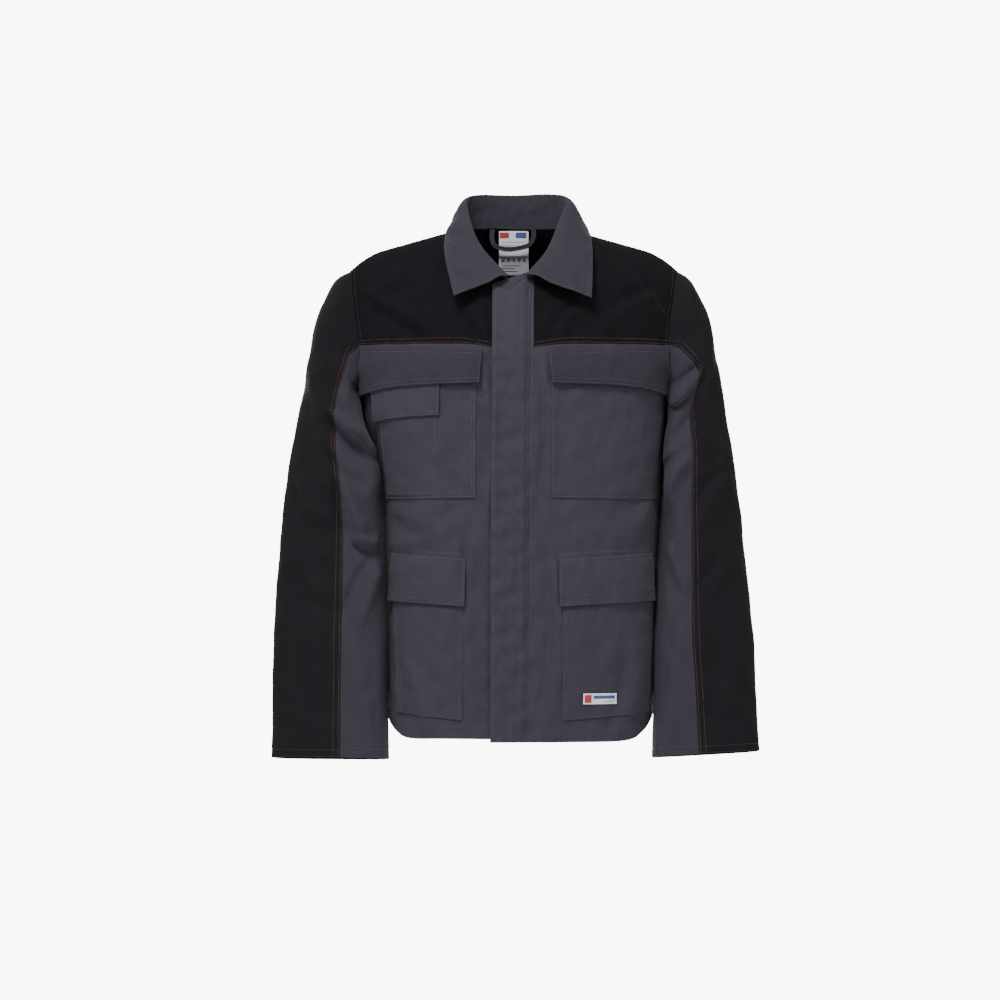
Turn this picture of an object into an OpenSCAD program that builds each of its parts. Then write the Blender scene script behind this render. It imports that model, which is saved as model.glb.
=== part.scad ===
// Two-tone work jacket for welding, hip length, closed, hanging as if worn.
// Front faces -Y, the wearer's left is +X, origin at the neck centre, level with the back neck seam.

/* [Body] */
// Back length, neck seam to hem
back_len = 722; // [700:1:740]
// Half width of the upper body at the shoulder blades
chest_half = 262; // [256:1:264]
// Half width under the arms
armpit_half = 214; // [210:1:216]
// Half width at the waist
waist_half = 194; // [188:1:196]
// Half width at the hem
hem_half = 187; // [182:1:188]
// Depth of the front from the side seams
front_depth = 140; // [130:1:144]
// Depth of the back from the side seams
back_depth = 122; // [110:1:126]
// How far the hem rises at the side seams
hem_rise = 40; // [20:1:50]
// Cloth thickness, seams and facings included
cloth = 1.6; // [1.2:0.1:2]

/* [Pockets and flaps] */
// Height of the yoke seam below the neck
yoke_z = 168; // [160:1:172]
// Height of the lower flaps' top edge below the neck
lower_flap_z = 460; // [450:1:465]
// Depth of the chest pockets below the yoke seam
chest_pocket_h = 214; // [205:1:220]
// Width of the storm flap
storm_w = 56; // [52:1:58]
// How far the flaps stand off the cloth below them
flap_gap = 5; // [5:0.5:6]

/* [Studs] */
// Diameter of a stud's disc
stud_d = 11; // [10:0.5:12]
// Diameter of a stud's post
post_d = 4; // [3.5:0.1:4.2]

/* [Hidden] */
$fn = 24;
// Exponent of the body's rounded sections
round_n = 2.6;
// Half width of the neck
neck_half = 72;
// Ends of the armhole below the neck
armhole_top = 66;
armhole_low = 238;
// Depth over which the shoulders round over into the chest
rise_len = 220;
// Clearance between panels that meet at a seam
gap = 1.5;
// The storm flap's free edge, stitched edge, ends and stand-off
storm_x0 = -30;
storm_x1 = storm_x0 + storm_w;
storm_top = -90;
storm_low = -back_len;
storm_off = 6.5;
// Stand-off of the studs' bases, on the front edge and on the pockets
front_stud_off = 0.8;
pocket_stud_off = 4.6;
// Stations along a sleeve where the bending cloth ends or starts
shoulder_to = 1.4;
elbow_from = 3.25;
elbow_to = 3.95;
// Clearance of the bending cloth, in stations
bend_gap = 0.02;
// Where the two colours of a sleeve meet, seen from its outer edge, and half the seam between them
seam_angle = 98;
split = 0.8;
// A sleeve band's turn, open by a slit at the inner edge
band_start = -178;
full_turn = 357;
slate = [0.27, 0.26, 0.31];
coal = [0.11, 0.11, 0.12];
steel = [0.6, 0.6, 0.62];
pale = [0.85, 0.85, 0.87];

// Small maths
function mix(a, b, t) = a + (b - a) * t;
function clip(t) = max(0, min(1, t));
function smooth(t) = clip(t) * clip(t) * (3 - 2 * clip(t));
function unit(v) = v / norm(v);
function signed_pow(v, p) = sign(v) * pow(abs(v), p);

// The body's surface: superellipse sections below sloping shoulders
function half_w(z) =
    z > -120 ? chest_half
    : z > -240 ? mix(chest_half, armpit_half, smooth((-120 - z) / 120))
    : z > -380 ? mix(armpit_half, waist_half, smooth((-240 - z) / 140))
    : mix(waist_half, hem_half, clip((-380 - z) / (back_len - 380)));
function mid_x(z) = 12 * smooth((-z - 240) / 140) - 4 * clip((-z - 380) / 340);
function ridge_z(x) =
    let (out = abs(x) - neck_half)
    -2 - (out < 0 ? 0.58 : 0.28) * out - 0.0045 * pow(max(out - 110, 0), 2);
function rise(s) = pow(1 - pow(1 - clip(s / rise_len), 1.8), 0.75);
function cloth_at(turn, z, off) =
    let (sx = signed_pow(sin(turn), 2 / round_n))
    let (cy = signed_pow(cos(turn), 2 / round_n))
    let (a = half_w(z), b = cy > 0 ? front_depth : back_depth)
    let (x = mid_x(z) + a * sx)
    let (below = max(ridge_z(x) - z, 0))
    let (nx = signed_pow(sx, round_n - 1) / a)
    let (ny = -signed_pow(cy, round_n - 1) / b)
    let (flat = unit([nx, ny]))
    let (up = 0.8 * clip(1 - below / 160))
    [x, -cy * b * rise(below), z] + off * unit([flat[0], flat[1], up]);
function turn_at(x, z) =
    let (share = clip(abs(x - mid_x(z)) / half_w(z)))
    sign(x - mid_x(z)) * asin(pow(share, round_n / 2));
function on_front(x, z, off) = cloth_at(turn_at(x, z), z, off);
function on_back(x, z, off) = cloth_at(180 - turn_at(x, z), z, off);
function armhole_x(z) = mix(232, 211, clip((-armhole_top - z) / (armhole_low - armhole_top)));
function edge_turn(z, side) = z > -armhole_low ? turn_at(side * armhole_x(z), z) : side * 89.9;
function hem_z(turn) = -back_len + hem_rise * pow(abs(signed_pow(sin(turn), 2 / round_n)), 6);

// A closed sheet between two grids of points, [row][column]
module sheet(front, back) {
    rows = len(front);
    cols = len(front[0]);
    count = rows * cols;
    function at(r, c, layer) = layer * count + r * cols + c;
    faces_front = [for (r = [0 : rows - 2], c = [0 : cols - 2])
        each [[at(r, c, 0), at(r + 1, c, 0), at(r + 1, c + 1, 0)],
              [at(r, c, 0), at(r + 1, c + 1, 0), at(r, c + 1, 0)]]];
    faces_back = [for (r = [0 : rows - 2], c = [0 : cols - 2])
        each [[at(r, c, 1), at(r + 1, c + 1, 1), at(r + 1, c, 1)],
              [at(r, c, 1), at(r, c + 1, 1), at(r + 1, c + 1, 1)]]];
    rim_top = [for (c = [0 : cols - 2]) each
        [[at(0, c, 0), at(0, c + 1, 0), at(0, c + 1, 1)], [at(0, c, 0), at(0, c + 1, 1), at(0, c, 1)]]];
    rim_low = [for (c = [0 : cols - 2]) each
        [[at(rows - 1, c, 0), at(rows - 1, c + 1, 1), at(rows - 1, c + 1, 0)],
         [at(rows - 1, c, 0), at(rows - 1, c, 1), at(rows - 1, c + 1, 1)]]];
    rim_start = [for (r = [0 : rows - 2]) each
        [[at(r, 0, 0), at(r + 1, 0, 1), at(r + 1, 0, 0)], [at(r, 0, 0), at(r, 0, 1), at(r + 1, 0, 1)]]];
    rim_end = [for (r = [0 : rows - 2]) each
        [[at(r, cols - 1, 0), at(r + 1, cols - 1, 0), at(r + 1, cols - 1, 1)],
         [at(r, cols - 1, 0), at(r + 1, cols - 1, 1), at(r, cols - 1, 1)]]];
    polyhedron(
        points = [each [for (row = front) each row], each [for (row = back) each row]],
        faces = concat(faces_front, faces_back, rim_top, rim_low, rim_start, rim_end),
        convexity = 6);
}

// A body panel between two turns, which vary with height, from a top line down to the hem
module body_panel(from, to, top, low, rows, cols, on_hem) {
    function cell(r, c, off) =
        let (b = r / rows, a = c / cols)
        let (z0 = mix(top, low, b))
        let (turn = mix(from(z0), to(z0), a))
        cloth_at(turn, mix(top, on_hem ? hem_z(turn) : low, b), off);
    sheet([for (r = [0 : rows]) [for (c = [0 : cols]) cell(r, c, 0)]],
        [for (r = [0 : rows]) [for (c = [0 : cols]) cell(r, c, -cloth)]]);
}

// A patch on the front: four corners, its stand-off at top and bottom, and a droop at the outer end
module front_patch(x_top, x_low, z_top, z_low, off_top, off_low, thick, rows, cols, droop = 0) {
    function cell(r, c, add) =
        let (a = c / cols, b = r / rows)
        let (z = mix(mix(z_top[0], z_top[1], a), mix(z_low[0], z_low[1], a)
            - droop * pow(abs(a - 0.15) / 0.85, 4), b))
        let (x = mix(mix(x_top[0], x_top[1], a), mix(x_low[0], x_low[1], a), b))
        on_front(x, z, mix(off_top, off_low, b) + add);
    outer = [for (r = [0 : rows]) [for (c = [0 : cols]) cell(r, c, thick)]];
    inner = [for (r = [0 : rows]) [for (c = [0 : cols]) cell(r, c, 0)]];
    if (x_top[0] < x_top[1]) sheet(outer, inner);
    else sheet(inner, outer);
}

// Body panels
module back_panel() {
    color(slate) body_panel(function(z) 180 - edge_turn(z, 1) + 0.1, function(z) 180 + edge_turn(z, 1) - 0.1,
        -yoke_z - gap, -back_len, 14, 14, true);
}
// The neckline's height, and a yoke from it or the shoulder ridge down to the yoke seam
function neck_drop(x, back) =
    let (in_neck = clip(1 - abs(x) / neck_half))
    back ? -3 + 3 * in_neck : -4 - 78 * pow(in_neck, 0.6);
function yoke_top(x, back) =
    abs(x) < neck_half ? neck_drop(x, back) : ridge_z(x) - (back ? 1 : 2);
module yoke_sheet(x0, x1, back, cols, rows = 7) {
    function cell(r, c, off) =
        let (x = mix(x0, x1, c / cols), b = pow(r / rows, 1.4))
        let (z = mix(yoke_top(x, back), -yoke_z, b))
        let (held = sign(x) * min(abs(x), armhole_x(z)))
        back ? on_back(held, z, off) : on_front(held, z, off);
    outer = [for (r = [0 : rows]) [for (c = [0 : cols]) cell(r, c, 0)]];
    inner = [for (r = [0 : rows]) [for (c = [0 : cols]) cell(r, c, -cloth)]];
    if (back) sheet(inner, outer);
    else sheet(outer, inner);
}
module back_yoke() {
    color(coal) yoke_sheet(-231, 231, true, 14);
}
module front_yoke_right() {
    color(coal) yoke_sheet(-231, 19, false, 11);
}
module front_yoke_left() {
    color(coal) yoke_sheet(22, 231, false, 9);
}
module front_panel_right() {
    color(slate) body_panel(function(z) edge_turn(z, -1), function(z) turn_at(19, z),
        -yoke_z - gap, -back_len, 14, 9, true);
}
module front_panel_left() {
    color(slate) body_panel(function(z) turn_at(22, z), function(z) edge_turn(z, 1),
        -yoke_z - gap, -back_len, 14, 8, true);
}

// The collar: its fold line runs from the back of the neck to the front edges
function fold_line(t, side) =
    let (s = abs(t))
    s < 0.5
        ? [side * 74 * sin(s * 180), 62 - 62 * pow(s * 2, 2), 41 - 7 * s * 2]
        : mix([side * 74, 0, 34], [side == 1 ? 16 : -8, -121, -72], (s - 0.5) * 2);
function seam_line(t, side) =
    let (s = abs(t))
    s < 0.5
        ? [side * 67 * sin(s * 180), 50 - 48 * pow(s * 2, 2), 3]
        : mix([side * 67, 2, 3], [side == 1 ? 16 : -8, -112, -79], (s - 0.5) * 2);
function leaf_edge(t, side) =
    let (s = abs(t))
    let (point = side == 1 ? [105, -119, -104] : [-81, -123, -101])
    s < 0.5
        ? [side * 104 * sin(s * 180), 86 - 80 * pow(s * 2, 2), -20 + 15 * s * 2]
        : mix([side * 104, 6, -5], point, (s - 0.5) * 2)
            + [side * 8, -34, 0] * sin((s - 0.5) * 360);
module collar_sheet(t0, t1, side, thick, stand) {
    steps = 10;
    across = 4;
    function cell(c, r, add) =
        let (t = mix(t0, t1, c / steps), b = r / across)
        let (way = side * (t < 0 ? -1 : 1))
        let (top = fold_line(t, way))
        let (low = stand ? seam_line(t, way) : leaf_edge(t, way))
        let (mid = mix(top, low, b))
        let (flat = unit([mid[0] / 90, (mid[1] + 15) / 90, 0]))
        let (out = [flat[0], flat[1], stand ? 0 : 0.5])
        mid + out * (add + (stand ? 0 : 3 + 5 * sin(b * 150)));
    a = [for (c = [0 : steps]) [for (r = [0 : across]) cell(c, r, 0)]];
    b = [for (c = [0 : steps]) [for (r = [0 : across]) cell(c, r, -thick)]];
    if (side == 1) sheet(a, b);
    else sheet(b, a);
}
module collar_stand() {
    color(slate) collar_sheet(-0.93, 0.93, 1, cloth, true);
}
module collar_back() {
    color(slate) collar_sheet(-0.47, 0.47, 1, cloth, false);
}
module collar_point_right() {
    color(slate) collar_sheet(0.5, 1, -1, cloth, false);
}
module collar_point_left() {
    color(slate) collar_sheet(0.5, 1, 1, cloth, false);
}
module neck_label() {
    color(pale) translate([-21, 40.5, -66]) cube([42, 0.6, 60]);
}
module hanger_loop() {
    color(slate) translate([0, 31, -2]) rotate([90, 0, 0]) linear_extrude(1.4) difference() {
        translate([-32, -28]) square([64, 28]);
        translate([-26, -22]) square([52, 30]);
    }
}

// The storm flap over the front edges, and the flaps and pockets
module storm_flap() {
    color(slate) front_patch([storm_x0, storm_x1], [storm_x0 - 3, storm_x1 - 4],
        [storm_top, storm_top], [storm_low, storm_low], storm_off, storm_off, cloth, 24, 3);
}
// Stands its child on the front, along the cloth's normal
module on_cloth(x, z, off) {
    step = 2;
    across = on_front(x + step, z, off) - on_front(x - step, z, off);
    upward = on_front(x, z + step, off) - on_front(x, z - step, off);
    normal = unit(cross(across, upward));
    translate(on_front(x, z, off)) rotate([0, acos(normal[2]), atan2(normal[1], normal[0])]) children();
}
module studs_at(points, off, lift, high, bore) {
    for (p = points)
        on_cloth(p[0], p[1], off) translate([0, 0, lift])
            if (bore) difference() {
                cylinder(d = stud_d, h = high);
                translate([0, 0, -1]) cylinder(d = post_d + 1.2, h = high + 2);
            }
            else {
                cylinder(d = stud_d, h = 1);
                cylinder(d = post_d, h = high);
            }
}
front_stud_points = [for (k = [0 : 4]) [-6, -130 - k * 132]];
module storm_flap_sockets() {
    color(steel) studs_at(front_stud_points, front_stud_off, 2.2, 1.6, true);
}
module front_studs() {
    color(steel) studs_at(front_stud_points, front_stud_off, 0, 3.6, false);
}
module chest_flap(side) {
    inner = side < 0 ? -44 : 48;
    outer = side * 210;
    front_patch([inner, outer], [inner + side * 4, outer - side * 2], [-yoke_z - 5, -yoke_z - 1],
        [-222, -226], flap_gap + 4, flap_gap + 5, cloth, 4, 9, 13);
}
module chest_flap_right() {
    color(slate) chest_flap(-1);
}
module chest_flap_left() {
    color(slate) chest_flap(1);
}
module chest_pocket(side, outer_top, outer_low) {
    inner = side < 0 ? -53 : 52;
    front_patch([inner, outer_top], [inner, outer_low], [-yoke_z - 12, -yoke_z - 10],
        [-yoke_z - chest_pocket_h, -yoke_z - chest_pocket_h - 2], 1.5, 2.5, cloth, 7, 9);
}
module chest_pocket_right() {
    color(slate) chest_pocket(-1, -207, -176);
}
module chest_pocket_left() {
    color(slate) chest_pocket(1, 212, 202);
}
module pen_pocket() {
    color(slate) front_patch([-108, -192], [-108, -174], [-240, -240], [-378, -379], 4.4, 4.8, 1, 5, 5);
}
module pen_flap() {
    color(slate) front_patch([-102, -191], [-103, -189], [-241, -243], [-266, -271],
        7.5, 7.5, cloth, 2, 6, 5);
}
module lower_pocket(side) {
    inner = side < 0 ? -72 : 67;
    outer = side < 0 ? -172 : 196;
    front_patch([inner, outer], [inner, outer - side * 10], [-lower_flap_z - 14, -lower_flap_z - 6],
        [-692, -682], 1.5, 2.5, cloth, 7, 7);
}
module lower_pocket_right() {
    color(slate) lower_pocket(-1);
}
module lower_pocket_left() {
    color(slate) lower_pocket(1);
}
module lower_flap(side) {
    inner = side < 0 ? -67 : 62;
    outer = side < 0 ? -171 : 192;
    front_patch([inner, outer], [inner, outer], [-lower_flap_z - 7, -lower_flap_z],
        [-533, -529], flap_gap + 4, flap_gap + 5, cloth, 4, 7, -4);
}
module lower_flap_right() {
    color(slate) lower_flap(-1);
}
module lower_flap_left() {
    color(slate) lower_flap(1);
}
function chest_points(side) = [[side * 72, -208]];
function lower_points(side) = [[side * 92, -518]];
module chest_sockets_right() {
    color(steel) studs_at(chest_points(-1), pocket_stud_off, 2.2, 1.2, true);
}
module chest_sockets_left() {
    color(steel) studs_at(chest_points(1), pocket_stud_off, 2.2, 1.2, true);
}
module chest_studs_right() {
    color(steel) studs_at(chest_points(-1), pocket_stud_off, 0, 3.2, false);
}
module chest_studs_left() {
    color(steel) studs_at(chest_points(1), pocket_stud_off, 0, 3.2, false);
}
module lower_sockets_right() {
    color(steel) studs_at(lower_points(-1), pocket_stud_off, 2.2, 1.2, true);
}
module lower_sockets_left() {
    color(steel) studs_at(lower_points(1), pocket_stud_off, 2.2, 1.2, true);
}
module lower_studs_right() {
    color(steel) studs_at(lower_points(-1), pocket_stud_off, 0, 3.2, false);
}
module lower_studs_left() {
    color(steel) studs_at(lower_points(1), pocket_stud_off, 0, 3.2, false);
}
module pocket_label() {
    color(pale) front_patch([95, 142], [95, 142], [-654, -654], [-669, -669], 4.5, 4.5, 0.6, 1, 3);
}

// Sleeves: each station gives the outer and the inner edge, and half the depth
right_arm = [
    [[-240, 0, -66], [-219, 0, -238], 70],
    [[-264, 4, -105], [-222, -6, -266], 76],
    [[-284, 8, -190], [-214, -16, -310], 76],
    [[-303, 6, -310], [-194, -40, -390], 60],
    [[-318, 0, -430], [-188, -52, -470], 50],
    [[-330, -14, -570], [-185, -60, -595], 42],
    [[-335, -34, -744], [-183, -66, -744], 32]];
left_arm = [
    [[240, 0, -66], [219, 0, -238], 70],
    [[262, 4, -105], [222, -4, -266], 76],
    [[281, 8, -190], [220, -10, -310], 76],
    [[296, 6, -310], [219, -30, -390], 60],
    [[310, 0, -430], [218, -42, -470], 50],
    [[325, -14, -570], [211, -52, -595], 42],
    [[337, -34, -732], [203, -60, -741], 32]];
function catmull(a, b, c, d, t) =
    0.5 * (2 * b + (c - a) * t + (2 * a - 5 * b + 4 * c - d) * t * t
        + (3 * b - a - 3 * c + d) * t * t * t);
function along(arm, k, t) =
    let (i = min(floor(t), len(arm) - 2))
    catmull(arm[max(i - 1, 0)][k], arm[i][k], arm[i + 1][k], arm[min(i + 2, len(arm) - 1)][k], t - i);
function arm_point(side, t, turn, off) =
    let (arm = side < 0 ? right_arm : left_arm)
    let (out = along(arm, 0, t), in = along(arm, 1, t), deep = along(arm, 2, t))
    let (mid = (out + in) / 2, half = (out - in) / 2)
    let (next = (along(arm, 0, t + 0.02) + along(arm, 1, t + 0.02)) / 2)
    let (last = (along(arm, 0, t - 0.02) + along(arm, 1, t - 0.02)) / 2)
    let (front = unit(cross(half, next - last)) * side)
    mid + half * cos(turn) * (1 + off / norm(half)) + front * sin(turn) * (deep + off);
module arm_sheet(side, t0, t1, a0, a1, rows, cols) {
    a = [for (r = [0 : rows]) [for (c = [0 : cols])
        arm_point(side, mix(t0, t1, r / rows), mix(a0, a1, c / cols), 0)]];
    b = [for (r = [0 : rows]) [for (c = [0 : cols])
        arm_point(side, mix(t0, t1, r / rows), mix(a0, a1, c / cols), -cloth)]];
    if (side < 0) sheet(a, b);
    else sheet(b, a);
}
module band(side, t0, t1, rows) {
    arm_sheet(side, t0 + bend_gap, t1 - bend_gap, band_start, band_start + full_turn, rows, 20);
}
module outer_half(side, t0, t1) {
    arm_sheet(side, t0, t1, -seam_angle + split, seam_angle - split, 6, 10);
}
module under_half(side, t0, t1) {
    arm_sheet(side, t0, t1, seam_angle + split, 360 - seam_angle - split, 6, 9);
}
module sleeve_head_right() {
    color(coal) band(-1, 0, shoulder_to, 5);
}
module sleeve_head_left() {
    color(coal) band(1, 0, shoulder_to, 5);
}
module upper_outer_right() {
    color(coal) outer_half(-1, shoulder_to, elbow_from);
}
module upper_outer_left() {
    color(coal) outer_half(1, shoulder_to, elbow_from);
}
module upper_under_right() {
    color(slate) under_half(-1, shoulder_to, elbow_from);
}
module upper_under_left() {
    color(slate) under_half(1, shoulder_to, elbow_from);
}
module elbow_right() {
    color(coal) band(-1, elbow_from, elbow_to, 3);
}
module elbow_left() {
    color(coal) band(1, elbow_from, elbow_to, 3);
}
module forearm_outer_right() {
    color(coal) outer_half(-1, elbow_to, 6);
}
module forearm_outer_left() {
    color(coal) outer_half(1, elbow_to, 6);
}
module forearm_under_right() {
    color(slate) under_half(-1, elbow_to, 6);
}
module forearm_under_left() {
    color(slate) under_half(1, elbow_to, 6);
}

back_panel();
back_yoke();
front_panel_right();
front_panel_left();
front_yoke_right();
front_yoke_left();
collar_stand();
collar_back();
neck_label();
hanger_loop();
collar_point_right();
collar_point_left();
storm_flap();
storm_flap_sockets();
front_studs();
chest_pocket_right();
chest_pocket_left();
pen_pocket();
pen_flap();
chest_flap_right();
chest_flap_left();
chest_sockets_right();
chest_sockets_left();
chest_studs_right();
chest_studs_left();
lower_pocket_right();
lower_pocket_left();
lower_flap_right();
lower_flap_left();
lower_sockets_right();
lower_sockets_left();
lower_studs_right();
lower_studs_left();
pocket_label();
sleeve_head_right();
sleeve_head_left();
upper_outer_right();
upper_outer_left();
upper_under_right();
upper_under_left();
elbow_right();
elbow_left();
forearm_outer_right();
forearm_outer_left();
forearm_under_right();
forearm_under_left();
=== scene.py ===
"""A two-tone welding work jacket: cloth pieces, stitching, labels and studs around the fixed frame.

Lengths are in millimetres in the garment functions and turn into metres in make_mesh().
The front faces -Y, the wearer's left is +X, and the neck centre is the origin.
"""

import math

import bpy
import numpy as np
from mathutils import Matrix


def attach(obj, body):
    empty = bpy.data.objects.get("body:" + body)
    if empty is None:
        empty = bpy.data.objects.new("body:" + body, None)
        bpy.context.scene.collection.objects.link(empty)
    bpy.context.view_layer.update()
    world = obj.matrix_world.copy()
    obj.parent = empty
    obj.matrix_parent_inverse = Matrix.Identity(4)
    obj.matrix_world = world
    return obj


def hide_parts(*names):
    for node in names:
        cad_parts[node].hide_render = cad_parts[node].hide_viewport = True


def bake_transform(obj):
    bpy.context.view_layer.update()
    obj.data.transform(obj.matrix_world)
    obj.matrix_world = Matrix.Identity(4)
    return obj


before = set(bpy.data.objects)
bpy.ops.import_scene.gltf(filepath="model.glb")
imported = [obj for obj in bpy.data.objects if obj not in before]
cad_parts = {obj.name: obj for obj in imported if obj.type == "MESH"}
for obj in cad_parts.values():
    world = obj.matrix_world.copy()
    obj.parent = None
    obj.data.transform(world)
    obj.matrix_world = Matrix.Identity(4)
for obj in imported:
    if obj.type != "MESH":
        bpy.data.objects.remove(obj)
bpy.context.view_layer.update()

MM = 0.001
ROOT = "jacket_body"
SIDES = {"right": -1, "left": 1}

# Driving dimensions, as in the part's source
BACK_LEN = 722.0
CHEST_HALF, ARMPIT_HALF, WAIST_HALF, HEM_HALF = 262.0, 214.0, 194.0, 187.0
FRONT_DEPTH, BACK_DEPTH = 140.0, 122.0
HEM_RISE = 40.0
YOKE_Z = 168.0
YOKE_DIP = 8.0
LOWER_FLAP_Z = 460.0
POCKET_H = 214.0
ROUND_N = 2.6
NECK_HALF = 72.0
ARMHOLE_TOP, ARMHOLE_LOW = 66.0, 238.0
ARMHOLE_HALF, ARMHOLE_HALF_LOW = 232.0, 211.0
RISE_LEN = 220.0
STORM_X0, STORM_X1 = -30.0, 26.0
ARM_SPLIT = 3.1
SEAM_ANGLE = 98.0
CLOTH = 1.4
# Where one piece runs on under the next: how far, and how much deeper. At the back panel's sides and
# the sleeves' seams the way is a share of the width or a length of outline, and the piece sinks over
# the last share of its own width.
LAP, UNDER = 4.0, 1.3
SIDE_LAP, SIDE_SINK = 0.012, 0.03
GIRTH_LAP, GIRTH_SINK = 0.07, 0.045


# ---------------------------------------- small maths
def clip(t):
    return np.clip(t, 0.0, 1.0)


def smooth(t):
    t = clip(t)
    return t * t * (3 - 2 * t)


def mix(a, b, t):
    return a + (b - a) * t


def signed_pow(v, p):
    return np.sign(v) * np.abs(v) ** p


def bell(d, width):
    return np.exp(-((d / width) ** 2))


def unit(v):
    return v / np.maximum(np.linalg.norm(v, axis=-1, keepdims=True), 1e-9)


WAVES = 9


def ripple(x, y, scale, seed):
    """Smooth seeded noise from a few crossing waves, about -1 to 1."""
    rng = np.random.default_rng(seed)
    total = 0.0
    for _ in range(WAVES):
        way = rng.uniform(0, 2 * math.pi)
        size = scale * rng.uniform(0.6, 1.7)
        along = (x * math.cos(way) + y * math.sin(way)) / size
        total = total + np.sin(along * 2 * math.pi + rng.uniform(0, 6.3))
    return total / math.sqrt(WAVES) / 1.4


def spline(points, t):
    """A Catmull-Rom curve through points at t = 0, 1, 2 ..."""
    p = np.asarray(points, float)
    t = np.clip(np.asarray(t, float), 0, len(p) - 1)
    i = np.minimum(t.astype(int), len(p) - 2)
    f = (t - i)[..., None]
    a, b = p[np.maximum(i - 1, 0)], p[i]
    c, d = p[i + 1], p[np.minimum(i + 2, len(p) - 1)]
    return 0.5 * (2 * b + (c - a) * f + (2 * a - 5 * b + 4 * c - d) * f**2 + (3 * b - a - 3 * c + d) * f**3)


# ---------------------------------------- folds
ARM_FOLD_GAIN = 1.7
BODY_FOLD_GAIN = 2.3


def creases(x, z, folds):
    """The height of a set of folds at (x, z). Each is (x and z at one end, x and z at the other, width,
    height): a ridge with a valley beside it, slightly bowed, that fades out at both ends."""
    total = np.zeros(np.broadcast(x, z).shape)
    for x0, z0, x1, z1, width, high in folds:
        dx, dz = x1 - x0, z1 - z0
        length = math.hypot(dx, dz)
        t = ((x - x0) * dx + (z - z0) * dz) / length**2
        off = ((x - x0) * dz - (z - z0) * dx) / length
        off = off + 0.06 * length * np.sin(np.clip(t, 0, 1) * math.pi) * math.sin(x0 + z1)
        ends = smooth((t + 0.12) / 0.35) * smooth((1.12 - t) / 0.35)
        wide = width * (0.7 + 0.5 * clip(t))
        total += high * ends * (bell(off, wide) - 0.75 * bell(off - 1.5 * wide, wide))
    return total


FRONT_FOLDS = [
    # soft vertical folds between the pockets and the storm flap
    (-42, -210, -46, -440, 7, 2.2),
    (38, -190, 40, -420, 7, 2.0),
    (-52, -400, -60, -690, 9, 2.4),
    (44, -440, 50, -690, 8, 2.2),
    # pulls towards the armholes on the yokes
    (-205, -95, -110, -150, 11, 2.6),
    (-215, -130, -150, -60, 10, 2.0),
    (205, -95, 120, -150, 11, 2.6),
    (214, -135, 150, -60, 10, 2.0),
    (-70, -110, -40, -160, 9, 1.6),
    (95, -115, 60, -160, 9, 1.6),
    # the waist, between chest and lower pockets
    (-172, -396, -96, -436, 14, 1.5),
    (-72, -402, -112, -452, 11, 1.1),
    (196, -392, 128, -440, 15, 1.5),
    (66, -400, 112, -452, 12, 1.1),
    (-176, -448, -120, -440, 10, 1.2),
    (-150, -600, -120, -710, 12, 2.2),
    (165, -580, 150, -710, 12, 2.2),
]
BACK_FOLDS = [(-150, -210, -60, -330, 18, 3.5), (150, -205, 50, -340, 18, 3.5),
              (-120, -400, -60, -680, 24, 4), (110, -420, 70, -690, 24, 4),
              (-190, -110, -90, -60, 14, 3), (190, -110, 90, -60, 14, 3)]
RIGHT_ARM_FOLDS = [
    (-256, -258, -196, -322, 9, 7.5),
    (-226, -222, -206, -286, 11, -8.0),
    (-243, -350, -212, -436, 10, 7.0),
    (-222, -437, -192, -446, 9, 6.0),
    (-183, -466, -220, -566, 11, 6.0),
    (-288, -190, -262, -325, 13, 3.2),
    (-300, -350, -262, -425, 12, 3.2),
    (-300, -465, -262, -525, 12, 2.8),
    (-226, -560, -205, -700, 13, 2.2),
    (-300, -560, -290, -720, 14, 2.2),
    (-255, -310, -226, -352, 8, 2.6),
]
LEFT_ARM_FOLDS = [
    (266, -198, 219, -246, 8, 4.4),
    (252, -228, 222, -264, 9, -2.6),
    (249, -318, 208, -400, 9, 5.6),
    (256, -262, 226, -330, 8, 2.8),
    (212, -440, 246, -520, 9, 3.0),
    (286, -190, 268, -325, 13, 3.0),
    (298, -350, 264, -425, 12, 3.0),
    (300, -465, 268, -525, 12, 2.8),
    (232, -560, 224, -700, 13, 2.2),
    (300, -560, 296, -700, 14, 2.2),
]
# Where the cloth stays flat under a stud: (x, z)
STUD_POINTS = [(-6, -130 - k * 132) for k in range(5)]
STUD_POINTS += [(s * x, z) for s in (-1, 1) for x, z in ((72, -208), (92, -518))]


# ---------------------------------------- the body's surface
def half_w(z):
    upper = mix(CHEST_HALF, ARMPIT_HALF, smooth((-120 - z) / 120))
    lower = mix(ARMPIT_HALF, WAIST_HALF, smooth((-240 - z) / 140))
    hem = mix(WAIST_HALF, HEM_HALF, clip((-380 - z) / (BACK_LEN - 380)))
    return np.where(z > -240, upper, np.where(z > -380, lower, hem))


def mid_x(z):
    """The middle of the body, which leans a little to the wearer's left at the waist."""
    return 12 * smooth((-z - 240) / 140) - 4 * clip((-z - 380) / 340)


def ridge_z(x):
    """The height of the shoulder line."""
    out = np.abs(x) - NECK_HALF
    return -2 - np.where(out < 0, 0.58, 0.28) * out - 0.0068 * np.maximum(out - 110, 0) ** 2


def rise(s):
    """The share of the body's full depth at s below the shoulder line."""
    return (1 - (1 - clip(s / RISE_LEN)) ** 1.8) ** 0.75


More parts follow.
